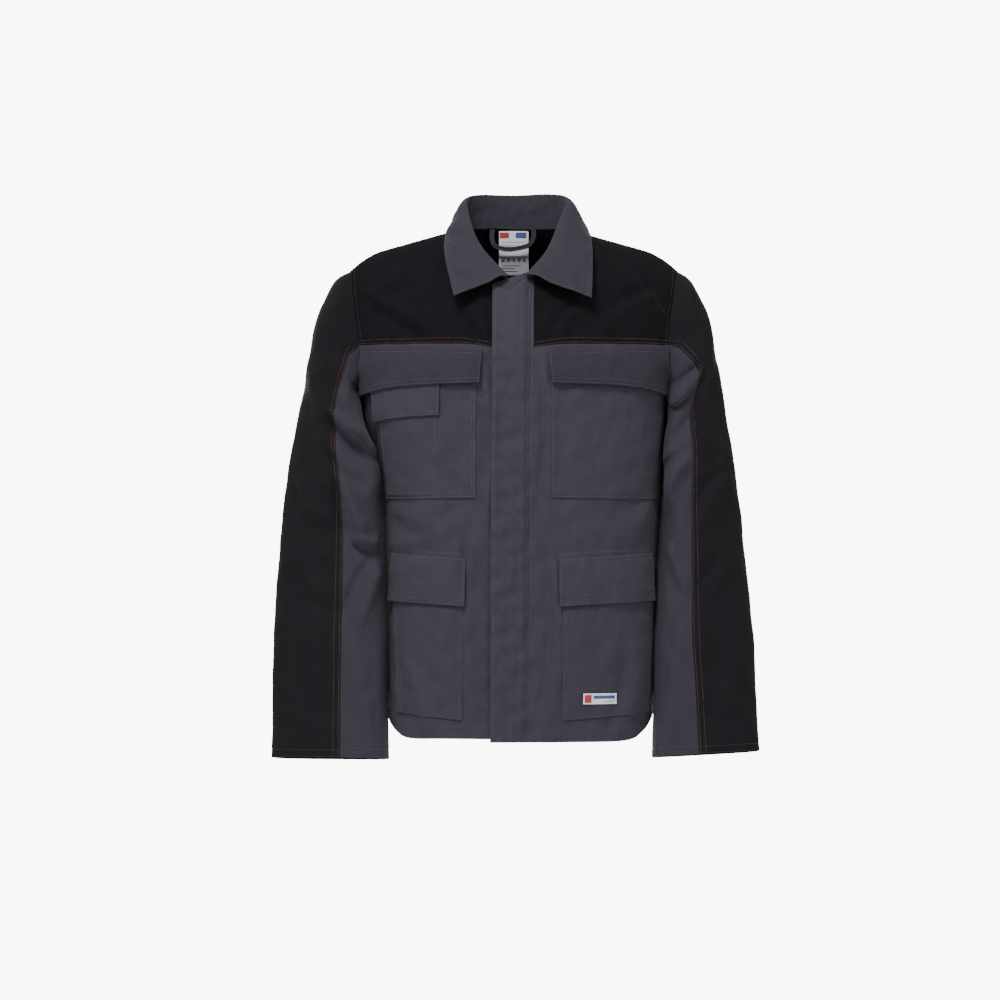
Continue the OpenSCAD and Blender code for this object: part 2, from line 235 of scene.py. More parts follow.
def body_relief(x, z, front):
    """Folds and small ripples of the body cloth, flat around the studs and near the side seams."""
    calm = 1.0
    for sx, sz in STUD_POINTS:
        calm = calm * (1 - bell(np.hypot(x - sx, z - sz), 20) * front)
    broad = 2.3 * ripple(x, z * 0.45, 95, 3) + 1.5 * ripple(x, z * 0.6, 34, 5)
    fine = 0.42 * ripple(x, z * 0.8, 13, 7)
    beside = 1 - 0.85 * smooth((np.abs(x - mid_x(z)) / half_w(z) - 0.88) / 0.12)
    folds = np.where(front > 0, creases(x, z, FRONT_FOLDS), creases(x, z, BACK_FOLDS))
    return beside * calm * (broad + fine + BODY_FOLD_GAIN * folds)


def body_at(turn, z, off=0.0, relief=1.0):
    """A point of the body cloth. turn is 0 at the front's middle, 90 at the wearer's left side."""
    turn, z = np.broadcast_arrays(np.radians(np.asarray(turn, float)), np.asarray(z, float))
    sx = signed_pow(np.sin(turn), 2 / ROUND_N)
    cy = signed_pow(np.cos(turn), 2 / ROUND_N)
    a, b = half_w(z), np.where(cy > 0, FRONT_DEPTH, BACK_DEPTH)
    x = mid_x(z) + a * sx
    below = np.maximum(ridge_z(x) - z, 0)
    nx, ny = signed_pow(sx, ROUND_N - 1) / a, -signed_pow(cy, ROUND_N - 1) / b
    up = 0.8 * clip(1 - below / 160)
    flat = np.hypot(nx, ny)
    nx, ny, nz = (v / np.sqrt(1 + up * up) for v in (nx / flat, ny / flat, up))
    fade = smooth(below / 40) * relief
    out = off + fade * body_relief(x, z, (cy > 0) * 1.0)
    return np.stack([x + out * nx, -cy * b * rise(below) + out * ny, z + out * nz], -1)


def turn_at(x, z):
    """The turn at which the front is at x."""
    share = clip(np.abs(x - mid_x(z)) / half_w(z))
    return np.sign(x - mid_x(z)) * np.degrees(np.arcsin(share ** (ROUND_N / 2)))


def front_at(x, z, off=0.0, relief=1.0):
    return body_at(turn_at(x, z), z, off, relief)


def armhole_x(z):
    return mix(ARMHOLE_HALF, ARMHOLE_HALF_LOW, clip((-ARMHOLE_TOP - z) / (ARMHOLE_LOW - ARMHOLE_TOP)))


def edge_turn(z, side):
    return np.where(z > -ARMHOLE_LOW, turn_at(side * armhole_x(z), z), side * 90.0)


def hem_z(turn):
    """The hem is level and turns up close to the side seams, more sharply in front, where the right
    side is a little shorter."""
    sx = np.abs(np.sin(np.radians(turn))) ** (2 / ROUND_N)
    short = 4.5 * (turn < 0) * smooth((turn + 75) / 50)
    return -BACK_LEN + short + HEM_RISE * sx ** np.where(np.cos(np.radians(turn)) > 0, 14, 6)


# ---------------------------------------- sleeves
# Seven stations down each sleeve: outer edge, (y, z) of the inner edge, and half the depth
ARMS = {
    -1: ([(-239, 0, -64), (-264, 4, -106), (-281, 8, -190), (-304, 6, -310), (-320, 0, -430),
          (-332, -14, -570), (-337, -34, -748)],
         [(0, -238), (-5, -266), (-14, -310), (-34, -390), (-46, -470), (-56, -595), (-66, -748)],
         [70, 76, 76, 60, 50, 42, 32]),
    1: ([(238, 0, -64), (260, 4, -106), (278, 8, -190), (296, 6, -310), (312, 0, -430),
         (330, -14, -570), (341, -34, -739)],
        [(0, -238), (-4, -266), (-10, -310), (-28, -390), (-42, -470), (-52, -595), (-60, -746)],
        [70, 76, 76, 60, 50, 42, 32]),
}
ARM_END = 6
# The gap to the body, how square the outline is behind and in front, and how far the front closes up
ARM_CLEAR = 2.6
ARM_ROUND = 2.45
ARM_ROUND_FRONT = 4.4
ARM_HUG = 11.0


def arm_outline(turn):
    """(across, ahead) on a sleeve's outline, in shares of its half width and half depth."""
    turn = np.radians(turn)
    power = 2 / np.where(np.sin(turn) > 0, ARM_ROUND_FRONT, ARM_ROUND)
    return signed_pow(np.cos(turn), power), signed_pow(np.sin(turn), power)


# How far round the outline each turn is, so that the cloth can be laid out evenly
QUADRANT = smooth(np.linspace(0, 1, 240, endpoint=False))
TURNS = np.concatenate([90 * (quarter + QUADRANT) for quarter in range(-2, 6)] + [[540.0]])
GIRTHS = np.concatenate([[0], np.cumsum(np.hypot(*np.diff(arm_outline(TURNS), axis=1)))])


def girth_at(turn):
    return np.interp(turn, TURNS, GIRTHS)


def turn_of(girth):
    return np.interp(girth, GIRTHS, TURNS)


def arm_edges(side, t):
    """The sleeve's outer edge, its inner edge beside the body, and half its depth at station t."""
    outer, inner, deep = ARMS[side]
    low = spline(inner, t)
    inward = (1 - (np.abs(low[..., 0]) / FRONT_DEPTH) ** ROUND_N) ** (1 / ROUND_N)
    clear = ARM_CLEAR + 6 * smooth((-low[..., 1] - 560) / 120)
    beside = mid_x(low[..., 1]) + side * (half_w(low[..., 1]) * inward + clear)
    inner_edge_at = np.stack([beside, low[..., 0], low[..., 1]], -1)
    return spline(outer, t), inner_edge_at, spline([(d,) for d in deep], t)


def arm_axis(side, t):
    outer, inner, _ = arm_edges(side, t)
    return (outer + inner) / 2


def arm_frame(side, t):
    outer, inner, deep = arm_edges(side, t)
    half = (outer - inner) / 2
    run = arm_axis(side, np.minimum(t + 0.02, ARM_END)) - arm_axis(side, np.maximum(t - 0.02, 0))
    return (outer + inner) / 2, half, -unit(np.cross(half, run)) * side, deep


def arm_at(side, t, turn, off=0.0, relief=1.0):
    """A point of a sleeve: t runs down the stations, turn goes round from the outer edge, front at 90."""
    t, turn = np.broadcast_arrays(np.asarray(t, float), np.asarray(turn, float))
    mid, half, ahead, deep = arm_frame(side, t)
    cos, sin = (part[..., None] for part in arm_outline(turn))
    turn = np.radians(turn)
    reach = np.linalg.norm(half, axis=-1, keepdims=True)
    plain = mid + half * cos + ahead * sin * deep
    x, z = plain[..., 0], plain[..., 2]
    front = smooth(np.sin(turn) * 1.4 + 0.35)
    inner = smooth((-np.cos(turn) - 0.55) / 0.4)
    girth, down = turn * 60, -z
    generic = 2.2 * ripple(girth, down * 0.8, 90, 11 + side) + 1.1 * ripple(girth, down, 38, 17 + side)
    fine = 0.25 * ripple(girth, down, 12, 23)
    # cross ridges behind the elbow, and the fullness of the sleeve head
    elbow = bell(t - 3.7, 0.5) * 2.4 * np.sin(down / 9.5 + 1.6 * np.sin(turn)) * (1 - front)
    cap = bell(t - 0.4, 0.35) * 2.0 * np.cos(turn)
    folds = creases(x, z, RIGHT_ARM_FOLDS if side < 0 else LEFT_ARM_FOLDS)
    folds = ARM_FOLD_GAIN * smooth(np.sin(turn) * 1.6) * folds
    # beside the body the folds are held down, so that the sleeve doesn't run into it
    folds = np.minimum(folds, mix(99.0, 1.0, inner))
    calm = (1 - 0.9 * inner) * (1 - 0.65 * smooth((np.cos(turn) - 0.4) / 0.5))
    height = off + relief * smooth(t / 0.5) * (calm * (generic + fine + elbow) + folds) + cap
    out = height[..., None]
    tube = mid + half * cos * (1 + out / reach) + ahead * sin * (deep + out)
    # beside the chest the front of the sleeve closes up to the body
    hug = smooth((-z - 235) / 50) * (1 - smooth((-z - 335) / 75))
    hug = ARM_HUG * hug * smooth(-np.sin(2 * turn)) * (np.sin(turn) > 0)
    tube = tube - hug[..., None] * np.array([side, 0, 0])
    # the sleeve starts exactly on the armhole seam
    z_seam = mix(ridge_z(231.0) - 0.3, -ARMHOLE_LOW, (1 - np.cos(turn)) / 2)
    seam_turn = turn_at(side * (armhole_x(z_seam) - LAP * 0.6), z_seam)
    seam_turn = np.where(np.sin(turn) > 0, seam_turn, 180 - seam_turn)
    seam = body_at(seam_turn, z_seam, off * 0.5 - UNDER)
    return mix(seam, tube, smooth(t / 0.55)[..., None])


# Where the black and the grey of each sleeve meet in front: (x, z) down the seam
COLOUR_SEAM = {
    -1: [(-230, -174), (-248, -244), (-252, -272), (-248, -324), (-240, -372), (-239, -469),
         (-241, -560), (-243, -744)],
    1: [(234, -174), (257, -199), (259, -218), (247, -250), (246, -275), (250, -312), (248, -400),
        (249, -581), (259, -741)],
}


def seam_girths(side):
    """How far round the colour seam is at stations along the sleeve, found on the plain sleeve."""
    t = np.linspace(0, ARM_END, 121)
    girth = np.linspace(girth_at(70), girth_at(135), 201)
    tt, gg = np.meshgrid(t, girth, indexing="ij")
    p = arm_at(side, tt, turn_of(gg), 0.0, 0.0)
    line = np.array(COLOUR_SEAM[side], float)
    target = np.interp(-p[..., 2], -line[:, 1], line[:, 0])
    best = girth[np.argmin(np.abs(p[..., 0] - target), axis=1)]
    best[t < 0.5] = mix(girth_at(106), best[np.searchsorted(t, 0.5)], t[t < 0.5] / 0.5)
    smoothing = np.exp(-((np.arange(-6, 7) / 3.0) ** 2))
    return t, np.convolve(np.pad(best, 6, mode="edge"), smoothing / smoothing.sum(), "valid")


FRONT_SEAM = {side: seam_girths(side) for side in (-1, 1)}


def front_seam(side, t):
    return np.interp(t, *FRONT_SEAM[side])


# ---------------------------------------- meshes
def steps(length, pitch):
    """Positions from 0 to 1 along length, close together near both ends, where the stitching is:
    near holds them in mm from an end."""
    near = np.array([0, 0.5, 1.1, 1.9, 2.8, 3.8, 5, 6.4, 8, 10, 12.5, 15.5])
    if length < 3.2 * near[-1]:
        near = near[: max(3, int(len(near) * length / (3.2 * near[-1])))]
    rest = length - 2 * near[-1]
    count = max(2, int(math.ceil(rest / pitch)))
    middle = near[-1] + rest * np.arange(1, count) / count
    return np.concatenate([near, middle, length - near[::-1]]) / length


def grid_normals(p):
    """The outward normals of a grid of points, v down its first axis and u along its second."""
    du = np.gradient(p, axis=1)
    dv = np.gradient(p, axis=0)
    return unit(np.cross(dv, du))


def sizes(func):
    """(width, height) of a patch in mm, along its middle lines."""
    line = np.linspace(0, 1, 60)
    across = func(line, 0.5 + 0 * line, 0.0)
    down = func(0.5 + 0 * line, line, 0.0)
    return tuple(np.linalg.norm(np.diff(p, axis=0), axis=1).sum() for p in (across, down))


def make_mesh(name, verts, faces, material, uvs=None, attributes=None, normals=None):
    """A smooth-shaded object in metres from vertices and UVs in millimetres."""
    mesh = bpy.data.meshes.new(name)
    mesh.from_pydata((np.asarray(verts) * MM).tolist(), [], faces)
    mesh.materials.append(material)
    mesh.polygons.foreach_set("use_smooth", [True] * len(mesh.polygons))
    if uvs is not None:
        layer = mesh.uv_layers.new(name="metres")
        index = np.zeros(len(mesh.loops), int)
        mesh.loops.foreach_get("vertex_index", index)
        layer.data.foreach_set("uv", (uvs[index] * MM).astype(np.float32).ravel())
    for key, values in (attributes or {}).items():
        mesh.attributes.new(key, "FLOAT", "POINT").data.foreach_set("value", values.astype(np.float32))
    if normals is not None:
        mesh.normals_split_custom_set_from_vertices(normals.tolist())
    mesh.update()
    obj = bpy.data.objects.new(name, mesh)
    bpy.context.scene.collection.objects.link(obj)
    return obj


def cloth_piece(name, func, material, rows=(), thick=CLOTH, pitch=4.0, joined=()):
    """A cloth panel from func(u, v, off), u across and v down, both 0 to 1. Its edges are rounded over,
    apart from the joined ones, where it runs on into the next piece, and each stitching row in rows,
    (edge, inset), presses a puckered groove into it."""
    width, height = sizes(func)
    u, v = steps(width, pitch), steps(height, pitch * 1.15)
    uu, vv = np.meshgrid(u, v)
    edge = {"left": uu * width, "right": (1 - uu) * width, "top": vv * height, "low": (1 - vv) * height}
    along = {"left": vv * height, "right": vv * height, "top": uu * width, "low": uu * width}
    groove = np.zeros(uu.shape)
    for side, inset in rows:
        d = edge[side] - inset
        pucker = ripple(along[side], d * 0.3, 9, len(name) + int(inset)) * np.exp(-np.abs(d) / 5)
        groove += -0.42 * bell(d, 1.1) + 0.38 * pucker
    nearest = np.minimum.reduce([d for side, d in edge.items() if side not in joined])
    roll = np.sqrt(np.maximum(1 - (1 - clip(nearest / 1.1)) ** 2, 0))
    base = func(uu, vv, 0.0)
    normal = grid_normals(base)
    outer = base + normal * (thick * (0.25 + 0.75 * roll) + groove * clip(nearest / 1.5))[..., None]
    inner = base + normal * (groove * 0.5 * clip(nearest / 1.5))[..., None]
    r, c = uu.shape
    count = r * c
    verts = np.concatenate([outer.reshape(-1, 3), inner.reshape(-1, 3)])
    i = np.arange(count).reshape(r, c)
    quads = np.stack([i[:-1, :-1], i[1:, :-1], i[1:, 1:], i[:-1, 1:]], -1).reshape(-1, 4)
    back = quads[:, ::-1] + count
    border = np.concatenate([i[0, :], i[1:, -1], i[-1, -2::-1], i[-2:0:-1, 0]])
    after = np.roll(border, -1)
    rim = np.stack([border, after, after + count, border + count], -1)
    faces = np.concatenate([quads, back, rim]).tolist()
    uv = np.stack([uu * width, vv * height], -1).reshape(-1, 2)
    uv = np.concatenate([uv, uv])
    wear = np.exp(-nearest / 2.2).ravel()
    outer_n = grid_normals(outer).reshape(-1, 3)
    normals = np.concatenate([outer_n, -grid_normals(inner).reshape(-1, 3)])
    obj = make_mesh(name, verts, faces, material, uv, {"wear": np.concatenate([wear, wear])}, normals)
    d1, d2 = base[1:, 1:] - base[:-1, :-1], base[1:, :-1] - base[:-1, 1:]
    area = float(np.linalg.norm(np.cross(d1, d2), axis=-1).sum() / 2) * MM * MM
    wide = np.linalg.norm(np.diff(base, axis=1), axis=-1).sum(1).max() * MM
    long = np.linalg.norm(np.diff(base, axis=0), axis=-1).sum(0).max() * MM
    obj["area"], obj["wide"], obj["long"] = area, max(wide, area / long), long
    return obj


def edge_line(func, side, inset, lo, hi):
    """(u, v) along a line parallel to one edge of a patch, inset from it in mm, from share lo to hi."""
    s = np.linspace(lo, hi, 300)
    width, height = sizes(func)
    if side in ("left", "right"):
        u = inset / width + 0 * s
        return (u if side == "left" else 1 - u), s
    v = inset / height + 0 * s
    return s, (v if side == "top" else 1 - v)


def thread_points(func, line, lift):
    """(points, normals) of a line on a patch."""
    u, v = line
    p = func(u, v, lift)
    step = 1e-3
    across = func(np.minimum(u + step, 1), v, lift) - func(np.maximum(u - step, 0), v, lift)
    down = func(u, np.minimum(v + step, 1), lift) - func(u, np.maximum(v - step, 0), lift)
    return p, unit(np.cross(down, across))


STITCH_PITCH, STITCH_WIDE, STITCH_TALL = 3.3, 0.78, 0.42


def stitches(name, runs, material):
    """Sewing thread along runs of (points, normals): a row of short raised stitches."""
    verts, faces = [], []
    for points, normals in runs:
        length = np.concatenate([[0], np.cumsum(np.linalg.norm(np.diff(points, axis=0), axis=1))])
        total = length[-1]
        count = max(1, int(total / STITCH_PITCH))
        for k in range(count):
            s = (k + np.array([0.10, 0.3, 0.7, 0.90])) * total / count
            p = np.stack([np.interp(s, length, points[:, j]) for j in range(3)], -1)
            n = unit(np.stack([np.interp(s, length, normals[:, j]) for j in range(3)], -1))
            way = unit(p[-1] - p[0])
            side = unit(np.cross(n, way))
            high = np.array([0.0, 1.0, 1.0, 0.0])[:, None] * STITCH_TALL
            girth = np.array([0.45, 1.0, 1.0, 0.45])[:, None] * STITCH_WIDE / 2
            top = p + n * (high + 0.05)
            ring = [p - n * 0.25 + side * girth, top + side * girth * 0.6, top - side * girth * 0.6,
                    p - n * 0.25 - side * girth]
            base = len(verts)
            for j in range(4):
                verts.extend(ring[m][j] for m in range(4))
            for j in range(3):
                a = base + 4 * j
                faces.extend([[a, a + 1, a + 5, a + 4], [a + 1, a + 2, a + 6, a + 5],
                              [a + 2, a + 3, a + 7, a + 6], [a + 3, a, a + 4, a + 7]])
            faces.append([base + 3, base + 2, base + 1, base])
            faces.append([base + 12, base + 13, base + 14, base + 15])
    return make_mesh(name, np.array(verts), faces, material)


# ---------------------------------------- materials
def set_inputs(node, **inputs):
    """Sets a node's inputs; underscores stand for the spaces in their names."""
    for key, value in inputs.items():
        node.inputs[key.replace("_", " ")].default_value = value


class Shading:
    """A material under construction: its nodes, and its principled shader."""

    def __init__(self, name):
        self.mat = bpy.data.materials.new(name)
        self.mat.use_nodes = True
        self.nodes, self.links = self.mat.node_tree.nodes, self.mat.node_tree.links
        self.shader = self.nodes["Principled BSDF"]

    def add(self, kind, **inputs):
        node = self.nodes.new("ShaderNode" + kind)
        set_inputs(node, **inputs)
        return node

    def link(self, output, node, socket):
        self.links.new(output, node.inputs[socket])

    def noise(self, place, **inputs):
        node = self.add("TexNoise", **inputs)
        self.link(place, node, "Vector")
        return node.outputs["Fac"]

    def ranged(self, value, low, high):
        node = self.add("MapRange", To_Min=low, To_Max=high)
        self.link(value, node, "Value")
        return node.outputs["Result"]

    def blend(self, first, second, factor):
        """Mixes two colours, each an RGB tuple or the output of a node."""
        mixer = self.add("Mix")
        mixer.data_type = "RGBA"
        self.link(factor, mixer, "Factor")
        for socket, value in ((6, first), (7, second)):
            if isinstance(value, tuple):
                mixer.inputs[socket].default_value = (*value, 1)
            else:
                self.link(value, mixer, socket)
        return mixer.outputs[2]

    def bump(self, height, strength, distance):
        node = self.add("Bump", Strength=strength, Distance=distance)
        self.link(height, node, "Height")
        self.link(node.outputs["Normal"], self.shader, "Normal")

    def metres(self):
        """Texture coordinates in metres of cloth."""
        uv = self.add("UVMap")
        uv.uv_map = "metres"
        return uv.outputs["UV"]


def scaled(colour, gain, plus=0.0):
    return tuple(c * gain + plus for c in colour)


def twill(name, colour, tint, rough, sheen, bump, specular=0.25):
    """Cotton twill: diagonal ribs and yarn slubs in metres of cloth, a slight melange, and paler edges."""
    look = Shading(name)
    uv = look.metres()
    lean = look.add("Mapping", Rotation=(0, 0, math.radians(63)))
    look.link(uv, lean, "Vector")
    ribs = look.add("TexWave", Scale=260, Distortion=1.2, Detail=1, Detail_Scale=2)
    look.link(lean.outputs["Vector"], ribs, "Vector")
    rib = ribs.outputs["Fac"]
    yarn = look.noise(uv, Scale=1400, Detail=2)
    mottle = look.noise(uv, Scale=28, Detail=5, Roughness=0.65)
    wear = look.add("Attribute")
    wear.attribute_name = "wear"
    base = look.blend(scaled(colour, 0.72), colour, look.ranged(rib, 0.25, 1.0))
    base = look.blend(base, tint, look.ranged(mottle, -0.25, 0.75))
    base = look.blend(base, scaled(colour, 1.9, 0.006), look.ranged(wear.outputs["Fac"], 0.0, 0.16))
    look.link(base, look.shader, "Base Color")
    look.link(look.ranged(mottle, rough - 0.07, rough + 0.07), look.shader, "Roughness")
    height = look.add("Math")
    height.operation = "MULTIPLY_ADD"
    height.inputs[1].default_value = 0.5
    look.link(yarn, height, 0)
    look.link(rib, height, 2)
    look.bump(height.outputs[0], bump, 0.0002)
    set_inputs(look.shader, Sheen_Weight=sheen, Sheen_Roughness=0.55, Specular_IOR_Level=specular)
    return look.mat


def thread(name, colour):
    look = Shading(name)
    twist = look.noise(look.add("TexCoord").outputs["Object"], Scale=900)
    look.link(look.blend(scaled(colour, 0.55), scaled(colour, 1.35), twist), look.shader, "Base Color")
    set_inputs(look.shader, Roughness=0.55, Sheen_Weight=0.2)
    return look.mat


def metal(name):
    look = Shading(name)
    scuffs = look.noise(look.add("TexCoord").outputs["Object"], Scale=600, Detail=4)
    look.link(look.ranged(scuffs, 0.24, 0.5), look.shader, "Roughness")
    set_inputs(look.shader, Base_Color=(0.42, 0.42, 0.44, 1), Metallic=1.0)
    return look.mat


def label_cloth(name, colour):
    look = Shading(name)
    weave = look.add("TexChecker", Scale=2500, Color1=(*colour, 1), Color2=(*scaled(colour, 0.86), 1))
    look.link(look.metres(), weave, "Vector")
    look.link(weave.outputs["Color"], look.shader, "Base Color")
    look.bump(weave.outputs["Fac"], 0.2, 0.0001)
    set_inputs(look.shader, Roughness=0.7)
    return look.mat


SLATE = twill("slate_twill", (0.0405, 0.0360, 0.0535), (0.0315, 0.0280, 0.0420), 0.85, 0.05, 0.8)
# a darker slate: on the collar stand it is painted shade inside the neck, on the right chest flap it is
# that flap's darker tone
SHADED_STAND_AND_DARK_FLAP_SLATE = twill("shaded_stand_and_dark_flap_twill", (0.0285, 0.0258, 0.0385), (0.0225, 0.0202, 0.0300), 0.85, 0.05, 0.8)
ARM_SLATE = twill("sleeve_slate_twill", (0.0345, 0.0310, 0.0455), (0.0265, 0.0240, 0.0355), 0.85, 0.05, 0.8)
WARM_SLATE = twill("warm_slate_twill", (0.0280, 0.0232, 0.0365), (0.0225, 0.0182, 0.0290), 0.85, 0.05, 0.8)
COAL = twill("black_twill", (0.0050, 0.0048, 0.0072), (0.0034, 0.0033, 0.0050), 0.85, 0.015, 0.7, 0.12)
COLLAR_SLATE = twill("collar_twill", (0.0325, 0.0288, 0.0420), (0.0245, 0.0220, 0.0320), 0.85, 0.05, 0.8)
ARM_COAL = twill("sleeve_black_twill", (0.0078, 0.0074, 0.0104), (0.0052, 0.0050, 0.0072), 0.83, 0.03, 0.7,
                 0.16)
GREY_THREAD = thread("grey_thread", (0.047, 0.043, 0.061))
BLACK_THREAD = thread("black_thread", (0.014, 0.014, 0.016))
RED_THREAD = thread("red_thread", (0.12, 0.017, 0.022))
STEEL = metal("stud_metal")
WHITE_LABEL = label_cloth("white_label", (0.78, 0.79, 0.82))
RED_LABEL = label_cloth("red_label", (0.42, 0.03, 0.04))
BLUE_LABEL = label_cloth("blue_label", (0.05, 0.09, 0.26))
GREY_LABEL = label_cloth("grey_label", (0.42, 0.43, 0.46))
# grey print on the label's lower half, made darker than the print alone: partly painted shade
GREY_PRINT_AND_SHADE_LABEL = label_cloth("grey_print_and_shade_label", (0.30, 0.30, 0.33))
DARK_LABEL = label_cloth("dark_label", (0.075, 0.078, 0.09))


# ---------------------------------------- placing
def settle(obj, how, nodes=()):
    """Puts a piece on its body, or bakes where it stands into its mesh, and hides the parts that it stands
    for. how is a body, or (body, next body, start, end) for a piece across a joint, whose bodies and ends
    are not used."""
    if isinstance(how, str):
        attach(obj, how)
    else:
        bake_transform(obj)
    if nodes:
        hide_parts(*nodes)


def double_rows(*edges, yarn=GREY_THREAD, near=2.2, far=8.2):
    return [(edge, inset, yarn) for edge in edges for inset in (near, far)]


def panel(name, func, cloth, how, nodes, rows, thick=CLOTH, pitch=4.0, joined=()):
    """A panel with its stitching. rows are (edge, inset, thread), and may go on with the two shares of
    the edge between which the row runs."""
    obj = cloth_piece(name, func, cloth, [r[:2] for r in rows], thick, pitch, joined)
    by_thread = {}
    for row in rows:
        side, inset, yarn = row[:3]
        lo, hi = row[3:] or (0.004, 0.996)
        line = edge_line(func, side, inset, lo, hi)
        by_thread.setdefault(yarn.name, (yarn, []))[1].append(thread_points(func, line, thick - 0.35))
    for key, (yarn, runs) in by_thread.items():
        sewing = stitches(f"{name}_{key}", runs, yarn)
        settle(sewing, how)
    settle(obj, how, nodes)
    return obj


# ---------------------------------------- body panels
def body_patch(from_turn, to_turn, lap_sides=False):
    """A panel from the yoke seam to the hem. It runs on a little way under the yoke, and with lap_sides
    under the panels beside it."""
    def func(u, v, off):
        # z0 is about the height of v, and finds the panel's side edges there
        z0 = mix(-YOKE_Z, -BACK_LEN, v)
        side_lap = SIDE_LAP * (2 * u - 1) if lap_sides else 0
        turn = mix(from_turn(z0), to_turn(z0), u + side_lap)
        middle_x = CHEST_HALF * signed_pow(np.sin(np.radians(turn)), 2 / ROUND_N)
        dip = YOKE_DIP * bell(middle_x, 45) * (np.cos(np.radians(turn)) > 0)
        top = LAP - YOKE_Z - dip
        z = mix(top, hem_z(turn), v)
        tucked = 1 - smooth((top - z) / (1.6 * LAP))
        if lap_sides:
            tucked = np.maximum(tucked, 1 - smooth(np.minimum(u, 1 - u) / SIDE_SINK))
        return body_at(turn, z, off - UNDER * tucked)
    return func


def neck_drop(x, back):
    """The height of a yoke's top edge: the neck opening, then the shoulder line."""
    inside = clip(1 - np.abs(x) / NECK_HALF)
    neck = -2 + 2 * inside if back else -2 - 80 * inside**0.6
    return np.where(np.abs(x) < NECK_HALF, neck, ridge_z(x))


def yoke_patch(x0, x1, back):
    """A yoke between two x, from the neck and the shoulder line to the yoke seam."""
    def func(u, v, off):
        x = mix(x0, x1, u)
        z = mix(neck_drop(x, back), -YOKE_Z - (0 if back else YOKE_DIP) * bell(x, 45), v**1.25)
        held = np.sign(x) * np.minimum(np.abs(x), armhole_x(z) * np.abs(x) / ARMHOLE_HALF)
        turn = turn_at(held, z)
        return body_at(180 - turn if back else turn, z, off)
    return func


def flipped(func):
    """The same patch with its other face outwards."""
    return lambda u, v, off: func(1 - u, v, off)


hem_rows = double_rows("low", near=1.8, far=18)
yoke_seam = double_rows("low", yarn=RED_THREAD, near=2.8, far=9.2)
back = body_patch(lambda z: 180 - edge_turn(z, 1), lambda z: 180 + edge_turn(z, 1), lap_sides=True)
panel("back_panel_cloth", flipped(back), SLATE, ROOT, ["back_panel"], hem_rows, pitch=5.0)
panel("front_panel_right_cloth", body_patch(lambda z: edge_turn(z, -1), lambda z: turn_at(19.0 + 0 * z, z)),
      SLATE, ROOT, ["front_panel_right"], hem_rows + double_rows("left", near=2.5, far=8.5))
panel("front_panel_left_cloth", body_patch(lambda z: turn_at(20.0 + 0 * z, z), lambda z: edge_turn(z, 1)),
      SLATE, ROOT, ["front_panel_left"], hem_rows + double_rows("right", near=2.5, far=8.5))
armhole_right = double_rows("left", yarn=BLACK_THREAD, near=2.6, far=8.6)
armhole_left = double_rows("right", yarn=BLACK_THREAD, near=2.6, far=8.6)
panel("front_yoke_right_cloth", yoke_patch(-ARMHOLE_HALF, 19, False), COAL, ROOT, ["front_yoke_right"],
      yoke_seam + armhole_right + [("top", 3, BLACK_THREAD, 0.01, 0.62)])
panel("front_yoke_left_cloth", yoke_patch(20, ARMHOLE_HALF, False), COAL, ROOT, ["front_yoke_left"],
      yoke_seam + armhole_left + [("top", 3, BLACK_THREAD, 0.26, 0.99)])
panel("back_yoke_cloth", flipped(yoke_patch(-ARMHOLE_HALF, ARMHOLE_HALF, True)), COAL, ROOT, ["back_yoke"],
      yoke_seam + armhole_right + armhole_left)


# ---------------------------------------- collar
# From the right front edge round the back to the left front edge: the fold at the top of the
# stand, the neck seam, and the leaf's lower edge; the back's middle is the point in the middle
COLLAR_MID = 5
FOLD = [(-8, -121, -73), (-43, -86, -34), (-59, -48, 0), (-66, 0, 37), (-50, 46, 48), (0, 62, 48),
        (52, 46, 49), (73, 0, 39), (60, -48, -2), (44, -86, -38), (16, -119, -71)]
SEAM = [(-8, -114, -79), (-38, -86, -52), (-55, -48, -24), (-67, 2, -4), (-46, 39, -3), (0, 51, -2),
        (46, 39, -3), (69, 2, -4), (55, -48, -24), (40, -84, -52), (17, -112, -78)]
LEAF = [(-81, -122, -101), (-89, -90, -64), (-93, -46, -30), (-88, 6, -8), (-70, 66, -14), (0, 87, -20),
        (72, 66, -14), (98, 6, -6), (105, -46, -28), (106, -90, -66), (105, -119, -104)]
COLLAR_CREASES = [(-40, -40, -70, -66, 6, 1.6), (-66, -30, -88, -44, 7, 1.4), (50, -44, 84, -78, 6, 1.5),
                  (70, -22, 98, -40, 7, 1.4)]


def collar_out(p):
    """Away from the neck."""
    return unit(p * np.array([1, 1, 0]) + np.array([0, 15, 0]))


def collar_leaf(side, start, end):
    """The turned-down leaf between two shares of the way from the back's middle to one front edge."""
    def func(u, v, off):
        s = COLLAR_MID * (1 + side * mix(start, end, u))
        p = mix(spline(FOLD, s), spline(LEAF, s), v[..., None])
        middle = np.sin(v * math.pi)
        roll = 4.5 * np.sin(clip(v * 3.2) * math.pi / 2)
        wave = 1.7 * ripple(p[..., 0] + p[..., 1], p[..., 2], 46, 31)
        wave = wave + 0.5 * ripple(p[..., 0], p[..., 2], 17, 33)
        wave = wave + creases(p[..., 0], p[..., 2], COLLAR_CREASES) * (p[..., 1] < 20)
        lift = roll + 4.0 * middle**0.8 + wave * middle + off
        rise_up = 3.5 * np.sin(clip(v * 3.2) * math.pi) * (v < 0.32)
        return p + collar_out(p) * lift[..., None] + np.array([0, 0, 1.0]) * rise_up[..., None]
    return func


def collar_lift(side):
    """Where a collar point's joint starts and ends: past the plane through the fold and the seam to the
    collar's back."""
    back_fold, back_leaf, front_fold = (np.array(p, float) for p in
                                        (FOLD[COLLAR_MID + 2 * side], LEAF[COLLAR_MID + 2 * side],
                                         FOLD[COLLAR_MID * (1 + side)]))
    way = -side * unit(np.cross(back_leaf - back_fold, front_fold - back_fold))
    return tuple(back_fold + 9 * way), tuple(back_fold + 50 * way)


